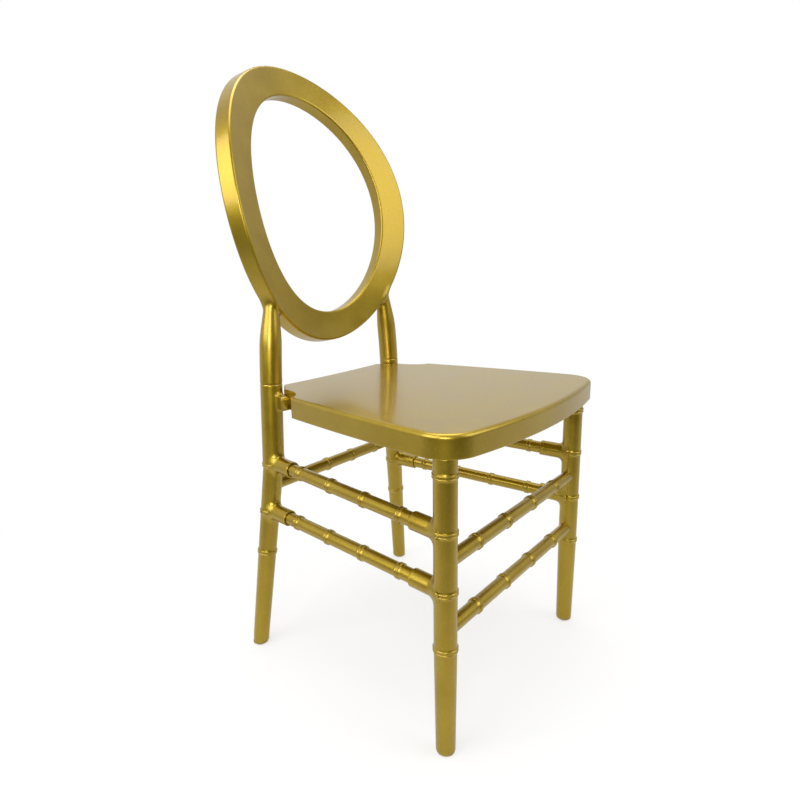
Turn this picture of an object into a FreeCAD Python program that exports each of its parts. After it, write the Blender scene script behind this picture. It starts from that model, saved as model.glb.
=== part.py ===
import FreeCAD, Part
import math
import os
import re
import Sketcher

# Ring back chair in moulded resin. Millimetres and degrees, +Z up, origin on the floor under the middle
# of the chair. The sitter faces -Y, so the sitter's right hand is at -X. The right half is modelled and
# the left half is its mirror image.

Vector = FreeCAD.Vector
UP = Vector(0, 0, 1)
doc = FreeCAD.newDocument("RingBackChair")

# Driving dimensions
SIZES = [
    ("rake", 1.6, "backward lean of the seat, the front legs and the rear posts"),
    ("seat_height", 441, "seat top above the origin, along the raked upright"),
    ("front_leg_x", 193.5, "front leg axis from the middle"),
    ("front_foot_forward", 232.9, "front foot ahead of the origin"),
    ("front_leg_radius", 15.3, "front leg between its nodes"),
    ("front_foot_radius", 13.2, "front leg at the floor"),
    ("front_node_drop", 24.2, "front leg's top node below the seat's rim"),
    ("front_node_upper", 317.8, "front leg's other nodes, measured up the leg"),
    ("front_node_lower", 237.5, ""),
    ("front_node_foot", 157.4, ""),
    ("rear_foot_x", 192.6, "rear foot from the middle"),
    ("rear_foot_back", 146.8, "rear foot behind the origin"),
    ("bend_x", 154.6, "bend of the rear leg, at its top node"),
    ("bend_back", 136.9, ""),
    ("bend_height", 312.3, ""),
    ("rear_foot_radius", 12.9, "rear leg at the floor"),
    ("rear_leg_radius", 16.3, "rear leg at the bend"),
    ("rear_node_lower", 234, "heights of the rear leg's lower nodes"),
    ("rear_node_foot", 164.9, ""),
    ("post_radius", 17.3, "rear post above the bend, and the stalks"),
    ("seam_x", 148.2, "seam between rear post and stalk"),
    ("seam_lift", 8.5, "seam above the seat top"),
    ("seam_gap", 0.3, "open line at the seam"),
    ("node_rise", 1.9, "bead height of a node"),
    ("node_groove", 0.9, "depth of the groove between a node's two beads"),
    ("node_bead", 2.4, "beads either side of the groove"),
    ("node_flare", 8, "half length of the whole node"),
    ("side_rung_upper", 315.6, "heights of the rungs"),
    ("side_rung_lower", 236, ""),
    ("front_rung_upper", 275.9, ""),
    ("front_rung_lower", 180.6, ""),
    ("rear_rung", 277.5, ""),
    ("rung_radius", 10, "rung between its nodes"),
    ("side_node_pitch", 71.4, "spacing of the nodes along a rung"),
    ("front_node_pitch", 80.3, ""),
    ("rear_node_pitch", 63.8, ""),
    ("stub_radius", 12.8, "stub that takes a side rung"),
    ("stub_reach", 53, "stub mouth from the leg axis"),
    ("stub_flare", 3.2, "spread of the stub where it grows from the leg"),
    ("stub_flare_length", 32, "flare's end from the leg axis"),
    ("socket_depth", 20, "rung end inside the stub"),
    ("mortise_bottom", 6, "front or rear rung's end from the leg axis"),
    ("fit_gap", 0.2, "play round a piece in its hole"),
    ("end_gap", 0.3, "play at the end of a piece in its hole"),
    ("seat_front_x", 222, "seat outline, half width at the front corners"),
    ("seat_front_corner", 255.7, "front corners ahead of the seat's origin"),
    ("seat_front_bow", 27.8, "front edge ahead of its corners"),
    ("seat_rear_x", 163.4, "half width at the rear corners"),
    ("seat_rear_corner", 140.8, "rear corners behind the seat's origin"),
    ("seat_rear_bow", 7.5, "hollow of the rear edge"),
    ("seat_side_bow", 3, "swell of the sides"),
    ("seat_corner_radius", 48, "front corners in plan"),
    ("seat_edge_radius", 6, "rounded top edge"),
    ("rim_depth", 31.3, "seat rim"),
    ("seat_wall", 4.5, "seat top and rim thickness"),
    ("rib_thickness", 3, "ribs under the seat"),
    ("rib_depth", 12, ""),
    ("rib_pitch", 80, ""),
    ("boss_radius", 18, "socket under the seat for a front leg"),
    ("tenon_radius", 10.5, "top of a front leg"),
    ("lug_outer", 3.5, "lug's outer face, outwards from the post axis"),
    ("lug_inner", 11.4, "lug's face against the seat, inwards from the post axis"),
    ("lug_reach", 36, "lug's front end from the post axis"),
    ("lug_toe_angle", 12.7, "turn of the lug and the seat's notch outwards"),
    ("lug_drop", 14, "lug's top below the seat top"),
    ("lug_depth", 17, "lug from top to bottom"),
    ("lug_corner", 5, "rounded top corner at the lug's end"),
    ("notch_reach", 75, "front wall of the seat's notch from the post axis"),
    ("notch_corner", 16, "rounded corner inside the notch"),
    ("scallop_gap", 3.2, "seat clear of the post behind the notch"),
    ("ring_width", 384.6, "ring outline, measured in its own leaning plane"),
    ("ring_height", 459.4, ""),
    ("ring_face", 49.2, "width of the ring's face"),
    ("ring_depth", 26.3, "ring from front to back"),
    ("ring_edge", 4, "rounding of the ring's edges"),
    ("ring_lean_angle", 12.89, "backward lean of the ring"),
    ("ring_centre_back", 177.5, "middle of the ring's front surface"),
    ("ring_lift", 280.3, "middle of the ring's front surface above the seam"),
    ("ring_wrap_radius", 491, "curve round the sitter's back"),
    ("ring_arch_radius", 1349, "backward curve towards top and bottom"),
    ("stalk_angle", 43, "where the stalks meet the ring, below its middle"),
    ("stalk_sink", 9, "stalk's end inside the ring's outer edge"),
    ("stalk_straight", 55, "stalk before it tapers"),
    ("stalk_tip_radius", 11.5, "stalk's rounded end"),
    ("dowel_radius", 6, "steel dowel across the seam"),
    ("dowel_half", 48, "dowel either side of the seam"),
    ("grub_radius", 2.5, "grub screw in the post"),
    ("grub_drop", 22, "grub screw below the seam"),
    ("bolt_radius", 2.5, "seat bolt"),
    ("bolt_drop", 22.5, "seat bolt below the seat top"),
    ("bolt_forward", 27.5, "seat bolt ahead of the post axis"),
    ("bolt_head_radius", 4.3, ""),
    ("bolt_head_height", 5, ""),
    ("bolt_hex_radius", 2, ""),
    ("bolt_hex_depth", 2.5, ""),
    ("washer_radius", 7, ""),
    ("washer_thickness", 1.2, ""),
    ("insert_radius", 4.2, "threaded insert in the lug"),
    ("insert_length", 11, ""),
    ("screw_radius", 1.7, "small screws"),
    ("screw_head_radius", 3.3, ""),
    ("screw_head_height", 2.2, ""),
    ("screw_sink", 1.3, "head let into the stub"),
    ("screw_length", 9, "shank of a stub's screw"),
    ("boss_screw_length", 17, "shank of a front leg's screw"),
    ("boss_screw_drop", 16, "front leg's screw below the seat top"),
    ("glide_height", 4, "foot glide under the leg's end"),
    ("glide_radius", 12.4, ""),
    ("glide_face_radius", 9.8, "glide's face on the floor"),
    ("glide_bevel", 2.2, ""),
    ("glide_stem_radius", 5, ""),
    ("glide_stem_length", 16, ""),
]
sheet = doc.addObject("Spreadsheet::Sheet", "Sizes")
for row, (alias, number, note) in enumerate(SIZES, 1):
    sheet.set(f"A{row}", note)
    sheet.set(f"B{row}", str(number))
    sheet.setAlias(f"B{row}", alias)
layout = doc.addObject("Spreadsheet::Sheet", "Layout")
doc.recompute()
owner = {alias: "Sizes" for alias, number, note in SIZES}


def bound(formula):
    """A formula over size names, with each name pointed at its sheet."""
    def point(match):
        word = match.group(0)
        return f"{owner[word]}.{word}" if word in owner else word
    return re.sub(r"[a-z]+(?:_[a-z]+)*", point, formula)


def size(formula):
    """Number that a formula over the sheets gives."""
    return float(sheet.evalExpression(bound(formula)))


def keep(alias, length):
    """Puts a length worked out from the driving dimensions on the layout sheet."""
    cell = f"B{sum(name == 'Layout' for name in owner.values()) + 1}"
    layout.set(cell, str(length))
    layout.setAlias(cell, alias)
    owner[alias] = "Layout"
    doc.recompute()


def bind(thing, **formulas):
    """Binds properties of a document object to formulas over the sheets."""
    for key, formula in formulas.items():
        thing.setExpression(key, bound(formula))


def frame(origin, along, upward=UP):
    """Placement with its Z along a direction and its Y as near to upward as that allows."""
    z = Vector(along).normalize()
    y = (upward - z * upward.dot(z)).normalize()
    return FreeCAD.Placement(origin, FreeCAD.Rotation(y.cross(z), y, z, "ZXY"))


def level_frame(origin, forward, upward):
    """Placement with its Z upward and its Y as near to forward as that allows."""
    y = (forward - upward * forward.dot(upward)).normalize()
    return FreeCAD.Placement(origin, FreeCAD.Rotation(y.cross(upward), y, upward, "ZXY"))


def origin_plane(body, role):
    """One of a body's own base planes."""
    return next(item for item in body.Origin.OriginFeatures if item.Role == role)


def drawn(body, role, corners, bulges=None):
    """Closed sketch on a base plane through corners given as formulas; a bulge formula makes an arc."""
    sketch = body.newObject("Sketcher::SketchObject", body.Name + "_outline")
    sketch.AttachmentSupport = [(origin_plane(body, role), "")]
    sketch.MapMode = "FlatFace"
    points = [Vector(size(x), size(y), 0) for x, y in corners]
    bulges = bulges or [None] * len(corners)
    for number, bulge in enumerate(bulges):
        start = points[number]
        end = points[(number + 1) % len(points)]
        if bulge is None:
            sketch.addGeometry(Part.LineSegment(start, end))
        else:
            side = (end - start).cross(UP).normalize()
            sketch.addGeometry(Part.Arc(start, (start + end) / 2 + side * size(bulge), end))
    for number, bulge in enumerate(bulges):
        follower = (number + 1) % len(points)
        tail = ends(sketch, number, points[follower])
        sketch.addConstraint(Sketcher.Constraint("Coincident", number, tail, follower,
                                                 ends(sketch, follower, points[follower])))
        for kind, formula in zip(("DistanceX", "DistanceY"), corners[number]):
            pin(sketch, kind, number, ends(sketch, number, points[number]), formula)
        if bulge is not None:
            chord = (points[follower] - points[number]).Length
            rise = f"abs({bulge})"
            round_size = sketch.Geometry[number].Radius
            key = sketch.addConstraint(Sketcher.Constraint("Radius", number, round_size))
            bind(sketch, **{f"Constraints[{key}]": f"{chord**2 / 8} / {rise} + {rise} / 2"})
    return sketch


def ends(sketch, number, point):
    """Which end of a sketch edge lies at a point: 1 for its start, 2 for its end."""
    start = sketch.getPoint(number, 1)
    return 1 if (start - point).Length < (sketch.getPoint(number, 2) - point).Length else 2


def pin(sketch, kind, number, end, formula):
    """Holds one coordinate of an edge's end at a formula, or on the axis where the formula is 0."""
    if formula == "0":
        axis = -2 if kind == "DistanceX" else -1
        sketch.addConstraint(Sketcher.Constraint("PointOnObject", number, end, axis))
        return
    key = sketch.addConstraint(Sketcher.Constraint(kind, -1, 1, number, end, size(formula)))
    bind(sketch, **{f"Constraints[{key}]": formula})


def turned(name, place, corners):
    """Body turned about its Z axis from a half outline of radius and height formulas."""
    body = doc.addObject("PartDesign::Body", name)
    sketch = drawn(body, "XZ_Plane", corners)
    turn = body.newObject("PartDesign::Revolution", name + "_turn")
    turn.Profile = sketch
    turn.ReferenceAxis = (sketch, ["V_Axis"])
    turn.Angle = 360
    body.Tip = turn
    body.Placement = place
    return body


def rod(name, place, radius, length, start="0"):
    """Plain cylinder along a placement's Z."""
    part = doc.addObject("Part::Cylinder", name)
    bind(part, Radius=radius, Height=length)
    part.Placement = place.multiply(FreeCAD.Placement(Vector(0, 0, size(start)), FreeCAD.Rotation()))
    return part


def block(name, place, spans):
    """Box between two formulas along each of a placement's axes."""
    part = doc.addObject("Part::Box", name)
    for key, (low, high) in zip(("Length", "Width", "Height"), spans):
        bind(part, **{key: f"({high}) - ({low})"})
    corner = Vector(*(size(low) for low, high in spans))
    part.Placement = place.multiply(FreeCAD.Placement(corner, FreeCAD.Rotation()))
    return part


def joined(name, pieces):
    """One solid from pieces that overlap."""
    part = doc.addObject("Part::MultiFuse", name)
    part.Shapes = pieces
    part.Refine = True
    return part


def shared(name, first, second):
    """What two solids have in common."""
    part = doc.addObject("Part::Common", name)
    part.Base = first
    part.Tool = second
    return part


def cut(name, base, tools):
    """A solid less its tools."""
    part = doc.addObject("Part::Cut", name)
    part.Base = base
    part.Tool = joined(name + "_tools", tools) if len(tools) > 1 else tools[0]
    return part


def group(name, pieces):
    """Separate solids kept together."""
    part = doc.addObject("Part::Compound", name)
    part.Links = pieces
    return part


def mirrored(name, source):
    """Left-hand copy of a right-hand piece."""
    part = doc.addObject("Part::Mirroring", name)
    part.Source = source
    part.Base = Vector(0, 0, 0)
    part.Normal = Vector(1, 0, 0)
    return part


def node(height, radius):
    """Bamboo node of a turned piece: flare, bead, groove, bead and flare."""
    return [
        (radius, f"{height} - node_flare"),
        (f"{radius} + node_rise", f"{height} - node_bead"),
        (f"{radius} + node_rise - node_groove", height),
        (f"{radius} + node_rise", f"{height} + node_bead"),
        (radius, f"{height} + node_flare"),
    ]


def screw(name, place, shank):
    """Pan-head screw whose head sits on a placement's XY plane, with its shank below."""
    return turned(name, place, [
        ("0", f"-{shank}"),
        ("screw_radius", f"-{shank}"),
        ("screw_radius", "0"),
        ("screw_head_radius", "0"),
        ("screw_head_radius", "screw_head_height / 2"),
        ("screw_head_radius * 0.6", "screw_head_height"),
        ("0", "screw_head_height"),
    ])


def screw_way(name, place, shank):
    """Clearance round a screw's shank and its head."""
    return [
        rod(name + "_shank", place, "screw_radius + fit_gap", f"{shank} + end_gap * 2",
            f"-{shank} - end_gap"),
        rod(name + "_head", place, "screw_head_radius + fit_gap", "screw_head_height * 4"),
    ]


# Places of the axes, on the right-hand side
rake = math.radians(size("rake"))
upright = Vector(0, math.sin(rake), math.cos(rake))
seat_frame = level_frame(upright * size("seat_height"), Vector(0, 1, 0), upright)
front_foot = Vector(-size("front_leg_x"), -size("front_foot_forward"), 0)
rear_foot = Vector(-size("rear_foot_x"), size("rear_foot_back"), 0)
bend = Vector(-size("bend_x"), size("bend_back"), size("bend_height"))
seam_height = size("(seat_height - bend_back * sin(rake)) / cos(rake) + seam_lift")
seam = Vector(-size("seam_x"), bend.y + (seam_height - bend.z) * math.tan(rake), seam_height)
front_axis = frame(front_foot, upright, Vector(0, 1, 0))
rear_axis = frame(rear_foot, bend - rear_foot, Vector(0, 1, 0))
post_axis = frame(bend, seam - bend, Vector(0, 1, 0))
keep("rear_length", (bend - rear_foot).Length)
keep("post_length", (seam - bend).Length)
keep("front_to_seat", size("seat_height + front_foot_forward * sin(rake)"))


def on_front_leg(height):
    """Point of the front leg's axis at a height above the floor."""
    return front_foot + upright * (height / upright.z)


def on_rear_leg(height):
    """Point of the rear leg's axis at a height above the floor."""
    start, end = (rear_foot, bend) if height < bend.z else (bend, seam)
    return start + (end - start) * ((height - start.z) / (end.z - start.z))


# Side rungs, the stubs that take them and the screws that lock them
side_rungs = {}
front_stubs = []
rear_stubs = []
front_ways = []
rear_ways = []
stub_screws = []
STUB = [
    ("0", "0"),
    ("stub_radius + stub_flare", "0"),
    ("stub_radius + stub_flare", "stub_flare_length * 0.45"),
    ("stub_radius + stub_flare * 0.35", "stub_flare_length * 0.65"),
    ("stub_radius", "stub_flare_length"),
    ("stub_radius", "stub_reach"),
    ("0", "stub_reach"),
]
for level in ("upper", "lower"):
    height = size("side_rung_" + level)
    front_end = on_front_leg(height)
    rear_end = on_rear_leg(height)
    direction = (rear_end - front_end).normalize()
    inward = direction.cross(UP)
    span = f"side_span_{level}"
    keep(span, (rear_end - front_end).Length)
    rung_frame = frame(front_end, direction)
    end = "stub_reach - socket_depth + end_gap"
    corners = [("0", end), ("rung_radius", end)]
    for step in (-1.5, -0.5, 0.5, 1.5):
        corners += node(f"{span} / 2 + side_node_pitch * {step}", "rung_radius")
    corners += [("rung_radius", f"{span} - ({end})"), ("0", f"{span} - ({end})")]
    rung = turned(f"side_rung_{level}_bar", rung_frame, corners)
    rung_ways = []
    for place, stubs, ways, word in ((front_end, front_stubs, front_ways, "front"),
                                     (rear_end, rear_stubs, rear_ways, "rear")):
        outward = direction if word == "front" else direction * -1
        name = f"{word}_stub_{level}"
        stub_frame = frame(place, outward)
        stubs.append(turned(name, stub_frame, STUB))
        ways.append(rod(name + "_bore", stub_frame, "rung_radius + fit_gap", "socket_depth * 2",
                        "stub_reach - socket_depth"))
        screw_seat = place + outward * size("stub_reach - socket_depth / 2")
        screw_frame = frame(screw_seat + inward * size("stub_radius - screw_sink"), inward)
        stub_screws.append(screw(name + "_screw", screw_frame, "screw_length"))
        way = screw_way(name + "_way", screw_frame, "screw_length")
        ways += way
        rung_ways += way
    side_rungs[level] = cut(f"side_rung_{level}", rung, rung_ways)

# Front and rear rungs, let straight into the legs
cross_rungs = {}
for name, place, pitch in (("front_rung_upper", on_front_leg, "front_node_pitch"),
                           ("front_rung_lower", on_front_leg, "front_node_pitch"),
                           ("rear_rung", on_rear_leg, "rear_node_pitch")):
    middle = place(size(name))
    keep(name + "_half", -middle.x)
    rung_frame = frame(Vector(0, middle.y, middle.z), Vector(-1, 0, 0))
    end = f"{name}_half - mortise_bottom - end_gap"
    corners = [("0", f"-({end})"), ("rung_radius", f"-({end})")]
    for step in (-1.5, -0.5, 0.5, 1.5):
        corners += node(f"{pitch} * {step}", "rung_radius")
    corners += [("rung_radius", end), ("0", end)]
    cross_rungs[name] = turned(name + "_bar", rung_frame, corners)
    way = rod(name + "_mortise", rung_frame, "rung_radius + fit_gap", "stub_reach * 2",
              f"{name}_half - mortise_bottom - stub_reach * 2")
    (front_ways if place is on_front_leg else rear_ways).append(way)

# Foot glides: a bevelled disc on the floor and a stem up the leg
GLIDE = [
    ("0", "0"),
    ("glide_face_radius", "0"),
    ("glide_radius", "glide_bevel"),
    ("glide_radius", "glide_height"),
    ("0", "glide_height"),
]


def glide(name, foot, axis):
    """Glide under a leg and the room that it takes in the leg's end."""
    disc = turned(name + "_disc", FreeCAD.Placement(foot, FreeCAD.Rotation()), GLIDE)
    stem = rod(name + "_stem", axis, "glide_stem_radius", "glide_stem_length", "glide_height / 2")
    bore = rod(name + "_bore", axis, "glide_stem_radius + fit_gap", "glide_stem_length + end_gap",
               "glide_height / 2")
    level = FreeCAD.Placement(foot, FreeCAD.Rotation())
    reach = ("-glide_radius * 3", "glide_radius * 3")
    floor = block(name + "_floor", level, (reach, reach, ("-glide_height * 3", "glide_height")))
    return joined(name, [disc, stem]), [bore, floor]


front_glide, way = glide("front_glide", front_foot, front_axis)
front_ways += way
rear_glide, way = glide("rear_glide", rear_foot, rear_axis)
rear_ways += way

# Front leg: tapered foot, four nodes, two stubs and a tenon for the seat
shoulder = "front_to_seat - rim_depth"
tenon_top = "front_to_seat - seat_wall - end_gap"
corners = [("0", "0"), ("front_foot_radius", "0")]
top_node = f"({shoulder} - front_node_drop)"
for height in ("front_node_foot", "front_node_lower", "front_node_upper", top_node):
    corners += node(height, "front_leg_radius")
corners += [
    ("front_leg_radius", shoulder),
    ("tenon_radius", shoulder),
    ("tenon_radius", tenon_top),
    ("0", tenon_top),
]
front_shaft = turned("front_shaft", front_axis, corners)
tenon_point = front_foot + upright * size("front_to_seat - boss_screw_drop")
boss_screw_frame = frame(tenon_point + seat_frame.Rotation.multVec(Vector(0, size("boss_radius"), 0)),
                         seat_frame.Rotation.multVec(Vector(0, 1, 0)))
boss_screw = screw("boss_screw", boss_screw_frame, "boss_screw_length")
boss_screw_ways = screw_way("boss_screw_way", boss_screw_frame, "boss_screw_length")
front_leg = cut("front_leg", joined("front_leg_whole", [front_shaft] + front_stubs),
                front_ways + boss_screw_ways)

# Rear leg: splayed foot below the bend, post above it, two stubs and the lug that carries the seat
taper = "rear_foot_radius + (rear_leg_radius - rear_foot_radius) / rear_length"
corners = [("0", "0"), ("rear_foot_radius", "0")]
for word in ("rear_node_foot", "rear_node_lower", "bend_height"):
    along = f"({word} * rear_length / bend_height)"
    corners += node(along, f"({taper} * {along})")
corners = corners[:-1] + [("0", corners[-2][1])]
rear_shaft = turned("rear_shaft", rear_axis, corners)
post = turned("rear_post", post_axis, [
    ("0", "0"),
    ("post_radius", "0"),
    ("post_radius", "post_length"),
    ("0", "post_length"),
])
lug_point = seam + upright * (seat_frame.Base - seam).dot(upright)
lug_turn = FreeCAD.Rotation(upright, -size("lug_toe_angle"))
lug_forward = lug_turn.multVec(seat_frame.Rotation.multVec(Vector(0, -1, 0)))
lug_frame = level_frame(lug_point, lug_forward, upright)
lug_box = block("lug_box", lug_frame, (("-lug_inner", "lug_outer"), ("0", "lug_reach"),
                                       ("-lug_drop - lug_depth", "-lug_drop")))


def eased(name, box, place, spot, radius):
    """Box with the edge nearest to a spot of a placement rounded."""
    doc.recompute()
    middle = place.multVec(Vector(*(size(formula) for formula in spot)))
    nearest = min(range(12), key=lambda i: (box.Shape.Edges[i].CenterOfMass - middle).Length)
    part = doc.addObject("Part::Fillet", name)
    part.Base = box
    part.Edges = [(nearest + 1, size(radius), size(radius))]
    return part


lug = eased("lug", lug_box, lug_frame, ("0", "lug_reach", "-lug_drop"), "lug_corner")

# Seat bolts, from inside the seat through the wall of its notch into an insert in the lug
wall_face = "lug_inner + end_gap + seat_wall"
bolt_point = lug_frame.multVec(Vector(0, size("bolt_forward"), -size("bolt_drop")))
bolt_frame = frame(bolt_point, lug_frame.Rotation.multVec(Vector(-1, 0, 0)), upright)
head = f"({wall_face} + washer_thickness)"
tip = "(lug_inner - insert_length)"
bolt = turned("seat_bolt", bolt_frame, [
    ("0", tip),
    ("bolt_radius", tip),
    ("bolt_radius", head),
    ("bolt_head_radius", head),
    ("bolt_head_radius", f"{head} + bolt_head_height"),
    ("bolt_hex_radius", f"{head} + bolt_head_height"),
    ("bolt_hex_radius", f"{head} + bolt_head_height - bolt_hex_depth"),
    ("0", f"{head} + bolt_head_height - bolt_hex_depth"),
])


def tube(name, place, inner, outer, low, high):
    """Plain tube between two heights."""
    return turned(name, place, [(inner, low), (outer, low), (outer, high), (inner, high)])


washer = tube("seat_washer", bolt_frame, "bolt_radius + fit_gap", "washer_radius", wall_face, head)
insert = tube("seat_insert", bolt_frame, "bolt_radius + fit_gap", "insert_radius", tip, "lug_inner")
insert_bore = rod("insert_bore", bolt_frame, "insert_radius + fit_gap", "insert_length * 2",
                  f"{tip} - end_gap")
bolt_bore = rod("bolt_bore", bolt_frame, "bolt_radius + fit_gap", "insert_length * 3", tip)

# Dowel across the seam, and its grub screw from the back of the post
dowel_frame = frame(seam, seam - bend, Vector(0, 1, 0))
dowel = rod("post_dowel", dowel_frame, "dowel_radius", "dowel_half * 2", "-dowel_half")
dowel_bore = rod("dowel_bore", dowel_frame, "dowel_radius + fit_gap", "(dowel_half + end_gap) * 2",
                 "-dowel_half - end_gap")
grub_point = dowel_frame.multVec(Vector(0, 0, -size("grub_drop")))
grub_frame = frame(grub_point, dowel_frame.Rotation.multVec(Vector(0, 1, 0)))
grub_start = "dowel_radius + end_gap"
grub_length = f"post_radius - end_gap * 2 - ({grub_start})"
grub = rod("grub_screw", grub_frame, "grub_radius", grub_length, grub_start)
grub_bore = rod("grub_bore", grub_frame, "grub_radius + fit_gap", "post_radius")
rear_leg = cut("rear_leg", joined("rear_leg_whole", [rear_shaft, post, lug] + rear_stubs),
               rear_ways + [dowel_bore, grub_bore, insert_bore])

# Seat: shell with a rounded top edge, sockets, ribs and walled notches at the rear corners
def seat_body(name, hollow):
    """Full seat outline, as deep as the rim, its corners and top edge rounded; hollow below if asked."""
    body = doc.addObject("PartDesign::Body", name)
    sketch = drawn(body, "XY_Plane", [
        ("-seat_front_x", "-seat_front_corner"),
        ("seat_front_x", "-seat_front_corner"),
        ("seat_rear_x", "seat_rear_corner"),
        ("-seat_rear_x", "seat_rear_corner"),
    ], ["seat_front_bow", "seat_side_bow", "-seat_rear_bow", "seat_side_bow"])
    pad = body.newObject("PartDesign::Pad", name + "_pad")
    pad.Profile = sketch
    bind(pad, Length="rim_depth")
    pad.Reversed = True
    doc.recompute()
    corners = [f"Edge{number}" for number, edge in enumerate(pad.Shape.Edges, 1)
               if edge.BoundBox.ZLength > size("rim_depth") / 2 and edge.CenterOfMass.y < 0]
    top = body.newObject("PartDesign::Fillet", name + "_corners")
    top.Base = (pad, corners)
    bind(top, Radius="seat_corner_radius")
    doc.recompute()
    if hollow:
        under = [f"Face{number}" for number, face in enumerate(top.Shape.Faces, 1)
                 if face.BoundBox.ZMax < -size("rim_depth") / 2]
        skin = body.newObject("PartDesign::Thickness", name + "_hollow")
        skin.Base = (top, under)
        bind(skin, Value="seat_wall")
        skin.Reversed = True
        doc.recompute()
        top = skin
    rim = [f"Edge{number}" for number, edge in enumerate(top.Shape.Edges, 1)
           if edge.BoundBox.ZMin > -size("seat_wall") / 2]
    soft_rim = body.newObject("PartDesign::Fillet", name + "_edge")
    soft_rim.Base = (top, rim)
    bind(soft_rim, Radius="seat_edge_radius")
    body.Tip = soft_rim
    doc.recompute()
    body.Placement = seat_frame
    return body


def on_seat(across, back):
    """Place on the seat's plane."""
    return seat_frame.multiply(FreeCAD.Placement(Vector(across, back, 0), FreeCAD.Rotation()))


blank = seat_body("seat_blank", False)
shell = seat_body("seat_shell", True)
seat_blocks = []
seat_ways = []
for side in (-1, 1):
    word = "right" if side < 0 else "left"
    leg_frame = on_seat(side * size("front_leg_x"), -size("front_foot_forward * cos(rake)"))
    seat_blocks.append(rod(f"boss_{word}", leg_frame, "boss_radius", "rim_depth - seat_wall / 2",
                           "-rim_depth"))
    seat_ways.append(rod(f"boss_{word}_bore", leg_frame, "tenon_radius + fit_gap",
                         "rim_depth - seat_wall + rim_depth", "-rim_depth * 2"))
    forward = Vector(side * abs(lug_forward.x), lug_forward.y, lug_forward.z)
    corner_point = Vector(side * abs(lug_point.x), lug_point.y, lug_point.z)
    corner_frame = level_frame(corner_point, forward, upright)
    beyond = "notch_reach * 2"
    sign = "-" if side < 0 else ""
    for thick, pieces, heights in (("seat_wall", seat_blocks, ("-rim_depth", "-seat_wall / 2")),
                                   ("0", seat_ways, ("-rim_depth * 2", "rim_depth"))):
        name = f"notch_{word}" if thick == "0" else f"notch_{word}_wall"
        inner = f"{sign}(lug_inner + end_gap + {thick})"
        span = (inner, beyond) if side < 0 else (f"-{beyond}", inner)
        front = f"notch_reach + {thick}"
        box = block(name + "_box", corner_frame, (span, (f"-{beyond}", front), heights))
        middle = f"({heights[0]} + ({heights[1]})) / 2"
        pieces.append(eased(name, box, corner_frame, (inner, front, middle), f"notch_corner + {thick}"))
    seat_blocks.append(rod(f"scallop_{word}_wall", corner_frame, "post_radius + scallop_gap + seat_wall",
                           "rim_depth - seat_wall / 2", "-rim_depth"))
    seat_ways.append(rod(f"scallop_{word}", corner_frame, "post_radius + scallop_gap", "rim_depth * 4",
                         "-rim_depth * 2"))
for step in (-1, 0, 1):
    thick = ("-rib_thickness / 2", "rib_thickness / 2")
    deep = ("-seat_wall - rib_depth", "-seat_wall / 2")
    along = ("-seat_front_corner * 1.5", "seat_rear_corner * 1.5")
    across = ("-seat_front_x * 1.5", "seat_front_x * 1.5")
    seat_blocks.append(block(f"rib_along_{step + 2}", on_seat(size("rib_pitch") * step, 0),
                             (thick, along, deep)))
    seat_blocks.append(block(f"rib_across_{step + 2}", on_seat(0, size("rib_pitch") * (step - 1)),
                             (across, thick, deep)))
left_bores = [mirrored(way.Name + "_left", way) for way in [bolt_bore] + boss_screw_ways]
inside = shared("seat_inside", blank, joined("seat_blocks", seat_blocks))
seat = cut("seat", joined("seat_whole", [shell, inside]),
           seat_ways + [bolt_bore] + boss_screw_ways + left_bores)

# Back ring: an oval band cut from a saddle-shaped sheet, with its edges rounded
lean = math.radians(size("ring_lean_angle"))
ring_frame = frame(Vector(0, size("ring_centre_back"), seam_height + size("ring_lift")),
                   Vector(0, -math.cos(lean), math.sin(lean)), Vector(0, math.sin(lean), math.cos(lean)))


def ring_bow(across, up):
    """How far the ring's front surface stands forward of its middle."""
    return across**2 / 2 / size("ring_wrap_radius") - up**2 / 2 / size("ring_arch_radius")


def oval(inset):
    """Solid far thicker than the ring, inside its outline less an inset. Its walls stand square to the
    ring's wrap, so on a level plane the outline widens with the depth below the ring's front."""
    wide = size("ring_width") / 2 - inset
    tall = size("ring_height") / 2 - inset
    turns = [math.pi / 24 * step for step in range(49)]
    wires = []
    for level in (size("ring_depth") * 4, -size("ring_depth") * 4):
        points = []
        for turn in turns[:-1]:
            across = wide * math.cos(turn)
            up = tall * math.sin(turn)
            grown = 1 + (ring_bow(across, up) - level) / size("ring_wrap_radius")
            points.append(Vector(across * grown, up, level))
        outline = Part.BSplineCurve()
        outline.interpolate(Points=points, PeriodicFlag=True, Parameters=turns)
        wires.append(Part.Wire([outline.toShape()]))
    return Part.makeLoft(wires, True, True)


def saddle():
    """Sheet of the ring's depth, bent round the sitter and arched back towards top and bottom."""
    wide = size("ring_width") * 0.6
    tall = size("ring_height") * 0.6
    sheet_face = Part.BezierSurface()
    sheet_face.increase(2, 2)
    for row, across in enumerate((-wide, 0, wide)):
        for column, up in enumerate((-tall, 0, tall)):
            bow = (ring_bow(wide, 0) if across else -ring_bow(wide, 0))
            bow += (ring_bow(0, tall) if up else -ring_bow(0, tall))
            sheet_face.setPole(row + 1, column + 1, Vector(across, up, bow))
    return sheet_face.toShape().extrude(Vector(0, 0, -size("ring_depth")))


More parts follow.
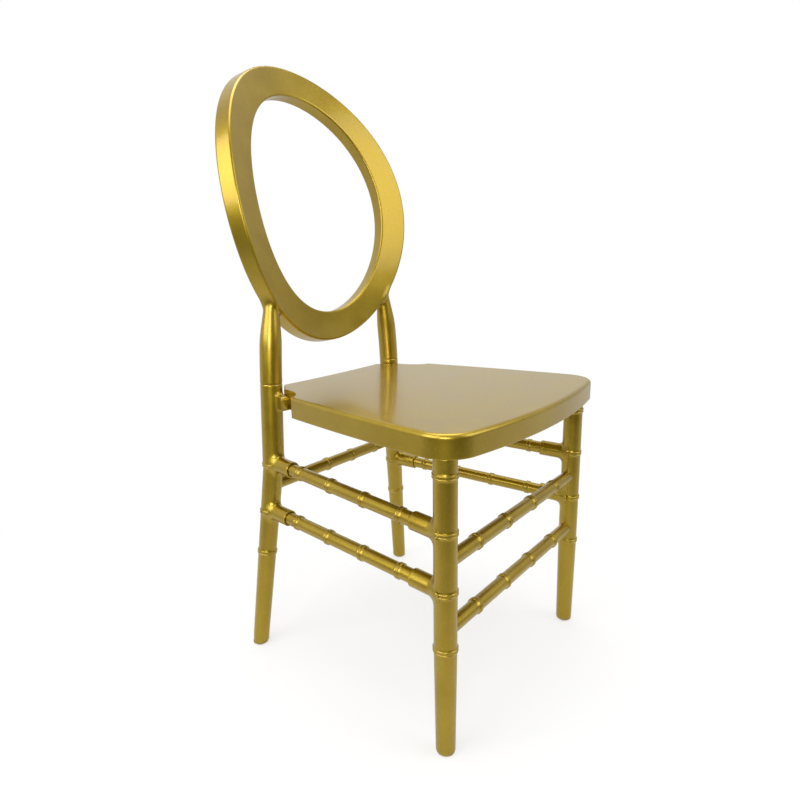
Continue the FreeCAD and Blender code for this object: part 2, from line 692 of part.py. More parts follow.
half_sizes = (size("ring_width"), size("ring_height") * 2, size("ring_depth") * 8)
half_corner = Vector(-size("ring_width"), -size("ring_height"), -size("ring_depth") * 4)
band = saddle().common(oval(0).cut(oval(size("ring_face"))))
band = band.common(Part.makeBox(*half_sizes, half_corner)).Solids[0]
rims = [edge for edge in band.Edges if edge.Length > size("ring_face") + size("ring_depth")]
right_band = doc.addObject("Part::Feature", "ring_band_right")
right_band.Shape = band.makeFillet(size("ring_edge"), rims)
right_band.Placement = ring_frame

# Stalks, from the seam into the ring's lower sides
turn = math.radians(size("stalk_angle"))
across = (size("ring_width") / 2 - size("stalk_sink")) * math.cos(turn)
down = (size("ring_height") / 2 - size("stalk_sink")) * math.sin(turn)
stalk_end = ring_frame.multVec(Vector(-across, -down, ring_bow(across, down) - size("ring_depth") / 2))
keep("stalk_length", (stalk_end - seam).Length)
stalk_frame = frame(seam, stalk_end - seam, Vector(0, 1, 0))
stalk_body = turned("stalk_body", stalk_frame, [
    ("0", "-post_radius"),
    ("post_radius", "-post_radius"),
    ("post_radius", "stalk_straight"),
    ("stalk_tip_radius", "stalk_length"),
    ("0", "stalk_length"),
])
stalk_tip = doc.addObject("Part::Sphere", "stalk_tip")
bind(stalk_tip, Radius="stalk_tip_radius")
stalk_tip.Placement = FreeCAD.Placement(stalk_end, FreeCAD.Rotation())
reach = ("-post_radius * 2", "post_radius * 2")
seam_trim = block("seam_trim", dowel_frame, (reach, reach, ("-post_radius * 2", "seam_gap")))
stalk = cut("stalk", joined("stalk_whole", [stalk_body, stalk_tip]), [dowel_bore, seam_trim])
right_half = joined("ring_right_half", [right_band, stalk])
back_ring = joined("back_ring", [right_half, mirrored("ring_left_half", right_half)])

# Named sub-parts
parts = {
    "back_ring": back_ring,
    "seat": seat,
    "front_leg_right": front_leg,
    "front_leg_left": mirrored("front_leg_left", front_leg),
    "rear_leg_right": rear_leg,
    "rear_leg_left": mirrored("rear_leg_left", rear_leg),
    "front_stretcher_upper": cross_rungs["front_rung_upper"],
    "front_stretcher_lower": cross_rungs["front_rung_lower"],
    "rear_stretcher": cross_rungs["rear_rung"],
    "side_stretcher_right_upper": side_rungs["upper"],
    "side_stretcher_right_lower": side_rungs["lower"],
    "side_stretcher_left_upper": mirrored("side_rung_left_upper", side_rungs["upper"]),
    "side_stretcher_left_lower": mirrored("side_rung_left_lower", side_rungs["lower"]),
    "foot_glide_front_right": front_glide,
    "foot_glide_front_left": mirrored("front_glide_left", front_glide),
    "foot_glide_rear_right": rear_glide,
    "foot_glide_rear_left": mirrored("rear_glide_left", rear_glide),
    "post_dowel_right": dowel,
    "post_dowel_left": mirrored("post_dowel_left", dowel),
}
fixings = {
    "dowel_screws": [grub],
    "seat_bolts_rear": [bolt],
    "seat_washers_rear": [washer],
    "seat_inserts_rear": [insert],
    "seat_screws_front": [boss_screw],
    "stretcher_screws": stub_screws,
}
for label, pieces in fixings.items():
    parts[label] = group(label, pieces + [mirrored(piece.Name + "_left", piece) for piece in pieces])
doc.recompute()

# Every object has to be sound before anything is written
for item in doc.Objects:
    if "Invalid" in item.State or "Error" in item.State:
        raise RuntimeError(f"{item.Name} failed: {item.State}")
os.makedirs("parts", exist_ok=True)
for label, item in parts.items():
    item.Label = label
    if item.Shape.isNull() or not item.Shape.isValid() or not item.Shape.Solids:
        raise RuntimeError(f"{label} has no sound solid")
for label, item in parts.items():
    item.Shape.exportStep(f"parts/{label}.step")
    print(label, len(item.Shape.Solids), round(item.Shape.Volume), item.Shape.BoundBox)
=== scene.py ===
import math

import bpy
import numpy as np
from mathutils import Matrix


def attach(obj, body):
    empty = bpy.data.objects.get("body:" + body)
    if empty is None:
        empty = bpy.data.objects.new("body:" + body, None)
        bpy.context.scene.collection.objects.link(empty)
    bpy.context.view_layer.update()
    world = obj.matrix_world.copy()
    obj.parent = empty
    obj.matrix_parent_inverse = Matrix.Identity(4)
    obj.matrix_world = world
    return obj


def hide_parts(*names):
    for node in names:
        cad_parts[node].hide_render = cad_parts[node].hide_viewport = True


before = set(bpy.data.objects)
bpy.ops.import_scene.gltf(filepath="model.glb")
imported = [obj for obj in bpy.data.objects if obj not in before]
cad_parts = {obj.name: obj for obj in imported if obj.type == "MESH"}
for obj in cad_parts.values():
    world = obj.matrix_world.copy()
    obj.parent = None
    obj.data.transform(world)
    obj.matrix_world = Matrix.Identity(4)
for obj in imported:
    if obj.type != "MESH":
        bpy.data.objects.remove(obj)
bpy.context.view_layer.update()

# Front legs: moulded resin in gold lacquer, one piece with the two stubs that take the side rungs.
# Bamboo nodes ring the shaft, the foot tapers, and a tenon at the top goes up into the seat.
MM = 0.001
RAKE = math.radians(1.6)
UPRIGHT = np.array([0, math.sin(RAKE), math.cos(RAKE)])
BACK = np.array([0, math.cos(RAKE), -math.sin(RAKE)])
FRONT_FOOT = np.array([-193.5, -232.9, 0.0])
FRONT_RADIUS = 15.3
FRONT_FOOT_RADIUS = 13.2
FRONT_NODES = (157.4, 237.5, 317.8, 392.0)
FRONT_SHOULDER = 416.2
TENON_RADIUS = 10.5
TENON_TOP = 442.7
SIDE_RUNG_HEIGHTS = (315.6, 236.0)
STUB_RADIUS = 12.8
STUB_REACH = 53.0
STUB_BORE = 10.45
STUB_BORE_DEPTH = 19
STUB_EASE = 1.2
MOUTH_EASE = 0.5
STUB_FILLET = 9.0
GLIDE_HEIGHT = 4.0
NODE_HALF = 6.5
NODE_RISE = 0.55
BEAD_PLACE = 2.3
BEAD_HALF = 0.9
BEAD_RISE = 0.75
NODE_ZONE = 8
FINE = 0.25


def linear(code):
    """Linear colour of an sRGB hex code: the power 2.4 curve above its straight foot."""
    parts = np.array([int(code[i:i + 2], 16) / 255 for i in (1, 3, 5)])
    bent = np.where(parts <= 0.04045, parts / 12.92, ((parts + 0.055) / 1.055) ** 2.4)
    return (*bent.tolist(), 1.0)


def add_node(tree, kind, settings=(), links=()):
    """Adds a node, sets its named sockets or properties, and links its sockets to other nodes' outputs."""
    node = tree.nodes.new(kind)
    for key, value in dict(settings).items():
        if isinstance(key, int) or key in node.inputs:
            node.inputs[key].default_value = value
        else:
            setattr(node, key, value)
    for key, output in dict(links).items():
        tree.links.new(output, node.inputs[key])
    return node


def node_swell(along):
    """Rise of a bamboo node: a cosine swelling with two round beads on it, a groove between them."""
    swell = np.where(np.abs(along) < NODE_HALF, NODE_RISE * (1 + np.cos(np.pi * along / NODE_HALF)), 0)
    bead = np.clip(1 - ((np.abs(along) - BEAD_PLACE) / BEAD_HALF) ** 2, 0, 1)
    return swell + BEAD_RISE * bead


def noded(heights, radius, nodes):
    """Radius along a turned shaft: its plain radius plus the swelling of every node."""
    return radius + sum(node_swell(heights - place) for place in nodes)


def steps(low, high, coarse, nodes):
    """Places along a shaft, evenly spaced and close together at every node."""
    parts = [np.linspace(low, high, int((high - low) / coarse) + 2)]
    for place in nodes:
        close = np.arange(place - NODE_ZONE, place + NODE_ZONE, FINE)
        parts.append(close[(close > low) & (close < high)])
    return np.unique(np.round(np.concatenate(parts), 3))


def across(axis):
    """Two unit vectors square to an axis and to each other."""
    axis = np.asarray(axis, float)
    helper = np.where(np.abs(axis[..., :1]) > 0.9, [[0.0, 1.0, 0.0]], [[1.0, 0.0, 0.0]])
    first = np.cross(axis, helper)
    first /= np.linalg.norm(first, axis=-1, keepdims=True)
    return first, np.cross(axis, first)


def tube(path, axis, radius, count):
    """Rings of points: each is its path point plus radius times a circle square to the axis there."""
    path = np.asarray(path, float)
    first, second = across(np.broadcast_to(axis, path.shape))
    angle = np.linspace(0, 2 * np.pi, count, endpoint=False)[None, :, None]
    circle = np.cos(angle) * first[:, None] + np.sin(angle) * second[:, None]
    return path[:, None] + np.asarray(radius, float)[:, None, None] * circle


def skin(rings):
    """Closed shell through rings of points, with a flat cap on the first and on the last."""
    rows, count = rings.shape[:2]
    index = np.arange(rows * count).reshape(rows, count)
    turned = np.roll(index, -1, axis=1)
    quads = np.stack([index[:-1], turned[:-1], turned[1:], index[1:]], axis=-1).reshape(-1, 4)
    return rings.reshape(-1, 3), [quads, index[:1, ::-1], index[-1:]]


def outward(points, polygons):
    """The same shell with its faces turned outwards: fans of triangles give the volume's sign."""
    volume = 0.0
    for block in polygons:
        start = points[block[:, 0]]
        for corner in range(1, block.shape[1] - 1):
            facing = np.cross(points[block[:, corner]], points[block[:, corner + 1]])
            volume += np.einsum("ij,ij->", start, facing)
    return points, polygons if volume > 0 else [block[:, ::-1] for block in polygons]


def piece(name, shells, finish, node):
    """Mesh object from shells in millimetres, on the chair's one body, standing for a CAD node."""
    mesh = bpy.data.meshes.new(name)
    places, corners, sizes = [], [], []
    offset = 0
    for shell in shells:
        points, polygons = outward(*shell)
        places.append(points)
        for block in polygons:
            corners.append((block + offset).ravel())
            sizes.append(np.full(len(block), block.shape[1]))
        offset += len(points)
    places = np.concatenate(places) * MM
    corners = np.concatenate(corners)
    sizes = np.concatenate(sizes)
    mesh.vertices.add(len(places))
    mesh.vertices.foreach_set("co", places.astype(np.float32).ravel())
    mesh.loops.add(len(corners))
    mesh.loops.foreach_set("vertex_index", corners.astype(np.int32))
    mesh.polygons.add(len(sizes))
    mesh.polygons.foreach_set("loop_start", (np.cumsum(sizes) - sizes).astype(np.int32))
    mesh.polygons.foreach_set("loop_total", sizes.astype(np.int32))
    mesh.polygons.foreach_set("use_smooth", np.ones(len(sizes), bool))
    mesh.update(calc_edges=True)
    mesh.validate()
    mesh.materials.append(finish)
    thing = bpy.data.objects.new(name, mesh)
    bpy.context.scene.collection.objects.link(thing)
    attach(thing, "root")
    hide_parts(node)
    return thing


def left_hand(shells):
    """Mirror image of shells in the chair's middle plane."""
    return [(points * [-1, 1, 1], polygons) for points, polygons in shells]


def melted(rings, own, other, soft):
    """Moves a surface near another solid onto their rounded union, the smooth minimum of two distances.
    A point slides down the union's gradient; one inside the other solid ends just under its skin."""
    points = rings.reshape(-1, 3).copy()
    depth = other(points)
    near = (depth > -0.5 * soft) & (depth < 1.2 * soft)
    moving = points[near]
    target = np.minimum(depth[near], 0) * 0.1

    def union(where):
        """Smooth minimum: the lower distance, less a parabola where the two are nearly equal."""
        a, b = own(where), other(where)
        share = np.clip(0.5 + 0.5 * (b - a) / soft, 0, 1)
        return b + (a - b) * share - soft * share * (1 - share)

    for _ in range(10):
        slope = np.stack([union(moving + step) - union(moving - step) for step in np.eye(3) * 0.05], -1) / 0.1
        moving -= slope * ((union(moving) - target) / np.maximum((slope ** 2).sum(-1), 0.2))[:, None]
    points[near] = moving
    return points.reshape(rings.shape)


def from_axis(point, axis, radius):
    """Distance function of a round bar: distance from its axis less its radius at that place."""
    def distance(where):
        along = (where - point) @ axis
        away = np.linalg.norm(where - point - along[:, None] * axis, axis=1)
        return away - (radius(along) if callable(radius) else radius)
    return distance


def gold_lacquer():
    """Gold lacquer sprayed on moulded resin and cleared: metal flake under a soft clear coat, which gives
    a satin gold with pale glancing reflections. Flake is drawn at 1.2 mm, coarser than real, so that it
    shows; the clouding is 55 mm across and the orange peel in the coat 4 mm."""
    finish = bpy.data.materials.new("gold_lacquer_on_resin")
    finish.use_nodes = True
    tree = finish.node_tree
    tree.nodes.clear()
    place = add_node(tree, "ShaderNodeTexCoord").outputs["Object"]
    cloud = add_node(tree, "ShaderNodeTexNoise", {"Scale": 1 / 0.055, "Detail": 3.0}, {"Vector": place})
    flake = add_node(tree, "ShaderNodeTexNoise", {"Scale": 1 / 0.0012, "Detail": 1.0}, {"Vector": place})
    peel = add_node(tree, "ShaderNodeTexNoise", {"Scale": 1 / 0.004, "Detail": 2.0}, {"Vector": place})
    tone = add_node(tree, "ShaderNodeValToRGB", links={"Fac": cloud.outputs["Fac"]})
    tone.color_ramp.elements[0].position = 0.3
    tone.color_ramp.elements[0].color = linear("#A88B1E")
    tone.color_ramp.elements[1].position = 0.72
    tone.color_ramp.elements[1].color = linear("#B4992A")
    glint = add_node(tree, "ShaderNodeMapRange",
                     {"From Min": 0.3, "From Max": 0.7, "To Min": 0.9, "To Max": 1.1},
                     {"Value": flake.outputs["Fac"]})
    colour = add_node(tree, "ShaderNodeMix", {"data_type": "RGBA", "blend_type": "MULTIPLY", 0: 1.0},
                      {6: tone.outputs["Color"], 7: glint.outputs["Result"]})
    rough = add_node(tree, "ShaderNodeMapRange",
                     {"From Min": 0.3, "From Max": 0.7, "To Min": 0.3, "To Max": 0.38},
                     {"Value": cloud.outputs["Fac"]})
    bump = add_node(tree, "ShaderNodeBump", {"Strength": 0.02, "Distance": 0.0004},
                    {"Height": peel.outputs["Fac"]})
    shader = add_node(tree, "ShaderNodeBsdfPrincipled",
                      {"Metallic": 0.92, "Coat Weight": 0.6, "Coat Roughness": 0.12},
                      {"Base Color": colour.outputs[2], "Roughness": rough.outputs["Result"],
                       "Normal": bump.outputs["Normal"]})
    add_node(tree, "ShaderNodeOutputMaterial", links={"Surface": shader.outputs["BSDF"]})
    return finish


GOLD = gold_lacquer()


def on_front_leg(height):
    """Point of the right front leg's axis at a height above the floor."""
    return FRONT_FOOT + UPRIGHT * (height / UPRIGHT[2])


def front_radius(along):
    """Front leg's radius: straight above the lowest node, tapering below it, with its nodes."""
    plain = np.interp(along, [0, FRONT_NODES[0]], [FRONT_FOOT_RADIUS, FRONT_RADIUS])
    return noded(along, plain, FRONT_NODES)


def stub(root, direction, leg):
    """Collar for a rung's end: a round bar out of the leg, an eased mouth and the bore inside it."""
    ease = np.linspace(0, np.pi / 2, 5)
    along = np.concatenate([np.linspace(-2, STUB_REACH - STUB_EASE, 60),
                            STUB_REACH - STUB_EASE + STUB_EASE * np.sin(ease),
                            STUB_REACH - MOUTH_EASE + MOUTH_EASE * np.cos(ease),
                            [STUB_REACH - STUB_BORE_DEPTH]])
    radius = np.concatenate([np.full(60, STUB_RADIUS), STUB_RADIUS - STUB_EASE + STUB_EASE * np.cos(ease),
                             STUB_BORE + MOUTH_EASE - MOUTH_EASE * np.sin(ease), [STUB_BORE]])
    rings = tube(root + along[:, None] * direction, direction, radius, 72)
    bar = from_axis(root, direction, STUB_RADIUS)
    outer = rings[:55]
    return np.concatenate([melted(outer, bar, leg, STUB_FILLET), rings[55:]]), bar


along = steps(GLIDE_HEIGHT + 0.9, FRONT_SHOULDER, 2.2, FRONT_NODES)
radius = front_radius(along)
along = np.concatenate([[GLIDE_HEIGHT + 0.2, GLIDE_HEIGHT + 0.4], along, [FRONT_SHOULDER, TENON_TOP]])
radius = np.concatenate([[radius[0] - 1.0, radius[0] - 0.4], radius, [TENON_RADIUS, TENON_RADIUS]])
front_rings = tube(FRONT_FOOT + along[:, None] * UPRIGHT, UPRIGHT, radius, 96)
front_leg = from_axis(FRONT_FOOT, UPRIGHT, front_radius)

# Rear legs: the foot splays out below the bend, the post above it carries the ring, and a short lug on the
# post takes hold of the wall of the seat's rear notch. Same resin, moulded with its stubs.
REAR_FOOT = np.array([-192.6, 146.8, 0.0])
BEND = np.array([-154.6, 136.9, 312.3])
SEAM_HEIGHT = 445.85
SEAM = np.array([-148.2, BEND[1] + (SEAM_HEIGHT - BEND[2]) * math.tan(RAKE), SEAM_HEIGHT])
REAR_FOOT_RADIUS = 12.9
REAR_BEND_RADIUS = 16.3
POST_RADIUS = 17.3
REAR_NODE_HEIGHTS = (164.9, 234.0, 312.3)
BEND_EASE = 9.0
SEAT_LEVEL = 441.0
SEAT_BASE = UPRIGHT * SEAT_LEVEL
LUG_TOE = math.radians(12.7)
LUG_INNER = 11.4
LUG_OUTER = -1.5
LUG_REACH = 34.5
LUG_TOP = -5.0
LUG_FALL = 4.0
LUG_FALL_START = 8
LUG_FALL_RUN = 18
LUG_BOTTOM = -31.0
LUG_CORNER = 6.0
LUG_EASE = 2.2
LUG_FILLET = 5.0
lower_length = np.linalg.norm(BEND - REAR_FOOT)
post_length = np.linalg.norm(SEAM - BEND)
LOWER = (BEND - REAR_FOOT) / lower_length
POST = (SEAM - BEND) / post_length
rear_nodes = [height / BEND[2] * lower_length for height in REAR_NODE_HEIGHTS]


def on_rear_leg(height):
    """Point of the right rear leg's axis at a height above the floor."""
    if height < BEND[2]:
        return REAR_FOOT + (BEND - REAR_FOOT) * (height / BEND[2])
    return BEND + (SEAM - BEND) * ((height - BEND[2]) / (SEAM[2] - BEND[2]))


def rear_radius(along):
    """Rear leg's radius: tapering to the foot, a little fuller above the bend, with its nodes."""
    plain = np.interp(along, [0, lower_length - 4, lower_length + 4],
                      [REAR_FOOT_RADIUS, REAR_BEND_RADIUS, POST_RADIUS])
    return noded(along, plain, rear_nodes)


def rear_path(along):
    """Rear leg's axis: straight below and above the bend, a parabola between them."""
    share = np.clip((along - lower_length + BEND_EASE) / (2 * BEND_EASE), 0, 1)[:, None]
    start, end = BEND - LOWER * BEND_EASE, BEND + POST * BEND_EASE
    eased = (1 - share) ** 2 * start + 2 * share * (1 - share) * BEND + share ** 2 * end
    below = np.minimum(along - lower_length + BEND_EASE, 0)[:, None] * LOWER
    above = np.maximum(along - lower_length - BEND_EASE, 0)[:, None] * POST
    tangent = LOWER + (POST - LOWER) * share
    return eased + below + above, tangent / np.linalg.norm(tangent, axis=1, keepdims=True)


def rear_leg(where):
    """Distance function of the rear leg: from the nearer of its two straight axes, less its radius."""
    lower = (where - REAR_FOOT) @ LOWER
    upper = (where - BEND) @ POST
    away_lower = np.linalg.norm(where - REAR_FOOT - lower[:, None] * LOWER, axis=1)
    away_upper = np.linalg.norm(where - BEND - upper[:, None] * POST, axis=1)
    below_bend = away_lower - rear_radius(lower)
    above_bend = away_upper - rear_radius(upper + lower_length)
    return np.where(upper < 0, below_bend, above_bend)


front_shells, rear_shells = [], []
front_bars, rear_bars = [], []
for height in SIDE_RUNG_HEIGHTS:
    ahead, behind = on_front_leg(height), on_rear_leg(height)
    direction = (behind - ahead) / np.linalg.norm(behind - ahead)
    for root, way, leg, shells, bars in ((ahead, direction, front_leg, front_shells, front_bars),
                                         (behind, -direction, rear_leg, rear_shells, rear_bars)):
        rings, bar = stub(root, way, leg)
        shells.append(skin(rings))
        bars.append((bar, root, way))


def melted_leg(rings, leg, bars):
    """Leg surface rounded into each of its stubs on the side where the stub stands."""
    for bar, root, way in bars:
        def sided(where, bar=bar, root=root, way=way):
            """The stub's distance on its own side of the leg, and far away on the other."""
            return np.where((where - root) @ way > 1, bar(where), 99.0)
        rings = melted(rings, leg, sided, STUB_FILLET)
    return rings


front_shells.insert(0, skin(melted_leg(front_rings, front_leg, front_bars)))
piece("front_leg_right_moulding", front_shells, GOLD, "front_leg_right")
piece("front_leg_left_moulding", left_hand(front_shells), GOLD, "front_leg_left")

top = lower_length + post_length
along = steps(GLIDE_HEIGHT + 1.0, top - 0.4, 2.2, rear_nodes)
path, tangent = rear_path(along)
radius = rear_radius(along)
radius[-1] -= 0.3
rear_rings = tube(path, tangent, radius, 96)
foot = rear_rings[:3].copy()
foot[0, :, 2], foot[1, :, 2], foot[2, :, 2] = GLIDE_HEIGHT + 0.2, GLIDE_HEIGHT + 0.4, GLIDE_HEIGHT + 1.1
foot[0, :, :2] += (foot[0, :, :2].mean(0) - foot[0, :, :2]) * 0.07
foot[1, :, :2] += (foot[1, :, :2].mean(0) - foot[1, :, :2]) * 0.02
rear_rings = np.concatenate([foot, rear_rings[4:]])

lug_turn = np.array([-math.sin(LUG_TOE), -math.cos(LUG_TOE)])
LUG_FORWARD = lug_turn[0] * np.array([1.0, 0, 0]) + lug_turn[1] * BACK
LUG_SIDE = np.cross(UPRIGHT, LUG_FORWARD)
lug_root = SEAM + UPRIGHT * ((SEAT_BASE - SEAM) @ UPRIGHT)


def lug_top(forward):
    """Height of the lug's top: it slopes down from the post on half a cosine."""
    share = np.clip((forward - LUG_FALL_START) / LUG_FALL_RUN, 0, 1)
    return LUG_TOP - LUG_FALL * (1 - np.cos(np.pi * share)) / 2


def lug_section(forward):
    """Rounded oblong across the lug; towards the lug's end its top falls away in a quarter circle."""
    fall = np.clip((forward - LUG_REACH + LUG_CORNER) / LUG_CORNER, 0, 1)
    top_edge = lug_top(forward) - LUG_CORNER * (1 - math.sqrt(1 - fall ** 2))
    angle = np.linspace(0, 2 * np.pi, 64, endpoint=False) + np.pi / 64
    wide = np.sign(np.cos(angle)) * ((LUG_INNER - LUG_OUTER) / 2 - LUG_EASE) + LUG_EASE * np.cos(angle)
    wide += (LUG_INNER + LUG_OUTER) / 2
    half = (top_edge - LUG_BOTTOM) / 2
    tall = np.sign(np.sin(angle)) * (half - LUG_EASE) + LUG_EASE * np.sin(angle)
    middle = (top_edge + LUG_BOTTOM) / 2
    return lug_root + forward * LUG_FORWARD + wide[:, None] * LUG_SIDE + (tall + middle)[:, None] * UPRIGHT


def lug_distance(where):
    """Distance function of the lug: a rounded box ahead of the post."""
    away = where - lug_root
    forward, wide, tall = away @ LUG_FORWARD, away @ LUG_SIDE, away @ UPRIGHT
    top_edge = lug_top(forward)
    past_side = np.abs(wide - (LUG_INNER + LUG_OUTER) / 2) - (LUG_INNER - LUG_OUTER) / 2
    past_top = np.abs(tall - (top_edge + LUG_BOTTOM) / 2) - (top_edge - LUG_BOTTOM) / 2
    sides = np.stack([past_side, past_top], -1) + LUG_EASE
    box = np.linalg.norm(np.maximum(sides, 0), axis=-1) + np.minimum(sides.max(-1), 0) - LUG_EASE
    return np.where(forward > 1, box, 99.0)


places = np.concatenate([np.linspace(4, LUG_REACH - LUG_CORNER, 70),
                         LUG_REACH - LUG_CORNER + LUG_CORNER * np.sin(np.linspace(0.1, 1.5, 12))])
lug_rings = np.stack([lug_section(place) for place in places])
lug_rings = np.concatenate([melted(lug_rings[:60], lug_distance, rear_leg, LUG_FILLET), lug_rings[60:]])
rear_rings = melted(melted_leg(rear_rings, rear_leg, rear_bars), rear_leg, lug_distance, LUG_FILLET)
rear_shells = [skin(rear_rings)] + rear_shells + [skin(lug_rings)]
piece("rear_leg_right_moulding", rear_shells, GOLD, "rear_leg_right")
piece("rear_leg_left_moulding", left_hand(rear_shells), GOLD, "rear_leg_left")

# Rungs: turned bars with bamboo nodes, in the same lacquered resin. The side ones plug into the stubs,
# the front and rear ones are let straight into the legs.
RUNG_RADIUS = 10.0
FRONT_RUNG_HEIGHTS = (275.9, 180.6)
REAR_RUNG_HEIGHT = 277.5
SIDE_PITCH = 71.4
FRONT_PITCH = 80.3
REAR_PITCH = 63.8
STUB_ENTRY = 33.3
MORTISE = 6.3


def rung(start, end, entry, pitch):
    """Bar between two leg axes, set back from each by its entry, with its nodes spaced about its middle."""
    span = np.linalg.norm(end - start)
    axis = (end - start) / span
    nodes = [span / 2 + pitch * step for step in (-1.5, -0.5, 0.5, 1.5)]
    places = steps(entry, span - entry, 6.0, nodes)
    return skin(tube(start + places[:, None] * axis, axis, noded(places, RUNG_RADIUS, nodes), 64))


for height, level in zip(SIDE_RUNG_HEIGHTS, ("upper", "lower")):
    shells = [rung(on_front_leg(height), on_rear_leg(height), STUB_ENTRY, SIDE_PITCH)]
    piece(f"side_rung_right_{level}", shells, GOLD, f"side_stretcher_right_{level}")
    piece(f"side_rung_left_{level}", left_hand(shells), GOLD, f"side_stretcher_left_{level}")
for root, node, pitch in ((on_front_leg(FRONT_RUNG_HEIGHTS[0]), "front_stretcher_upper", FRONT_PITCH),
                          (on_front_leg(FRONT_RUNG_HEIGHTS[1]), "front_stretcher_lower", FRONT_PITCH),
                          (on_rear_leg(REAR_RUNG_HEIGHT), "rear_stretcher", REAR_PITCH)):
    piece(node.replace("stretcher", "rung"), [rung(root, root * [-1, 1, 1], MORTISE, pitch)], GOLD, node)

# Seat: a flat injection-moulded shell with a deep rim, its top edge rounded, its rear corners cut away in
# open notches for the posts. Ribs and two leg sockets stiffen it underneath.
SEAT_FRONT = np.array([220.9, -255.7])
SEAT_REAR = np.array([160.0, 140.8])
FRONT_BOW, SIDE_BOW, REAR_BOW = 27.8, 6.4, -7.5
CORNER_RADIUS = 48.0
EDGE_RADIUS = 6.0
NOTCH_EDGE = 1.6
RIM_DEPTH = 31.3
SEAT_WALL = 4.5
NOTCH_GAP = 0.3
NOTCH_REACH = 87.0
NOTCH_CORNER = 44.0
SCALLOP_GAP = 4.6
RUN_OUT = 10.0
RIB_PITCH = 80.0
RIB_DEPTH = 12.0
RIB_HALF = 1.5
BOSS_RADIUS = 18.0


def bowed(start, end, bow):
    """Curve between two points, a parabola that stands off the chord to the left of its run by the bow."""
    share = np.linspace(0, 1, 2400)[:, None]
    run = (end - start) / np.linalg.norm(end - start)
    return start + (end - start) * share + np.array([-run[1], run[0]]) * bow * 4 * share * (1 - share)


def thinned(line, count):
    """Count points evenly spaced along a fine line."""
    reach = np.concatenate([[0], np.cumsum(np.linalg.norm(np.diff(line, axis=0), axis=1))])
    wanted = np.linspace(0, reach[-1], count)
    return np.stack([np.interp(wanted, reach, line[:, 0]), np.interp(wanted, reach, line[:, 1])], -1)


def right_normal(line):
    """Unit normals on the right of a line's run, which is the seat's inside."""
    run = np.gradient(line, axis=0)
    run /= np.linalg.norm(run, axis=1, keepdims=True)
    return np.stack([run[:, 1], -run[:, 0]], -1)


def half_outline():
    """Seat's right half from the middle of the front edge to the middle of the rear edge, and each edge's
    rounding: bowed edges, a tangent corner arc, the notch's wide inside curve and its side, and behind it a
    quarter scallop round the post that runs straight out through the rear edge."""
    front = bowed(SEAT_FRONT, SEAT_FRONT * [-1, 1], FRONT_BOW)[1200:]
    side = bowed(SEAT_FRONT * [-1, 1], SEAT_REAR * [-1, 1], SIDE_BOW)
    rear = bowed(SEAT_REAR * [-1, 1], SEAT_REAR, REAR_BOW)[:1200]
    front_in = front + right_normal(front) * CORNER_RADIUS
    side_in = side + right_normal(side) * CORNER_RADIUS
    gaps = np.linalg.norm(front_in[:, None] - side_in[None, :1200], axis=-1)
    last, next_one = np.unravel_index(gaps.argmin(), gaps.shape)
    centre = (front_in[last] + side_in[next_one]) / 2
    from_turn = math.atan2(*(front[last] - centre)[::-1])
    to_turn = math.atan2(*(side[next_one] - centre)[::-1]) % (2 * math.pi)
    turn = np.linspace(from_turn % (2 * math.pi), to_turn, 60)[:, None]
    corner = centre + CORNER_RADIUS * np.concatenate([np.cos(turn), np.sin(turn)], 1)
    post = np.array([lug_root[0], (lug_root - SEAT_BASE) @ BACK])
    out = np.array([-math.cos(LUG_TOE), math.sin(LUG_TOE)])
    inner = LUG_INNER + NOTCH_GAP
    scallop_radius = POST_RADIUS + SCALLOP_GAP
    arc_middle = post + lug_turn * (NOTCH_REACH - NOTCH_CORNER) - out * (inner - NOTCH_CORNER)
    turn = np.linspace(0, np.pi / 2, 900)[:, None]
    notch_arc = arc_middle + NOTCH_CORNER * (np.cos(turn) * lug_turn - np.sin(turn) * out)
    gaps = np.linalg.norm(side[:, None] - notch_arc[None], axis=-1)
    step_at, arc_at = np.unravel_index(gaps.argmin(), gaps.shape)
    side_end = post + lug_turn * math.sqrt(scallop_radius ** 2 - inner ** 2) - out * inner
    turn = np.linspace(math.asin(inner / scallop_radius), np.pi / 2, 40)[:, None]
    scallop = post + scallop_radius * (np.cos(turn) * lug_turn - np.sin(turn) * out)
    leave = np.argmin(np.abs((rear - post) @ out + scallop_radius + RUN_OUT))
    runs = ((front[:last + 1], 60, EDGE_RADIUS), (corner, 40, EDGE_RADIUS),
            (side[next_one:step_at + 1], 90, EDGE_RADIUS), (notch_arc[arc_at:], 26, NOTCH_EDGE),
            (np.stack([notch_arc[-1], side_end]), 16, NOTCH_EDGE), (scallop, 14, NOTCH_EDGE),
            (np.stack([scallop[-1], rear[leave]]), 8, NOTCH_EDGE), (rear[leave:], 50, EDGE_RADIUS))
    line = np.concatenate([thinned(run, count)[:-1] for run, count, ease in runs])
    ease = np.concatenate([np.full(count - 1, ease) for run, count, ease in runs])
    return np.concatenate([line, rear[-1:]]), ease


half, half_ease = half_outline()
outline = np.concatenate([half, half[-2:0:-1] * [-1, 1]])
edge_ease = np.concatenate([half_ease, half_ease[::-1]])


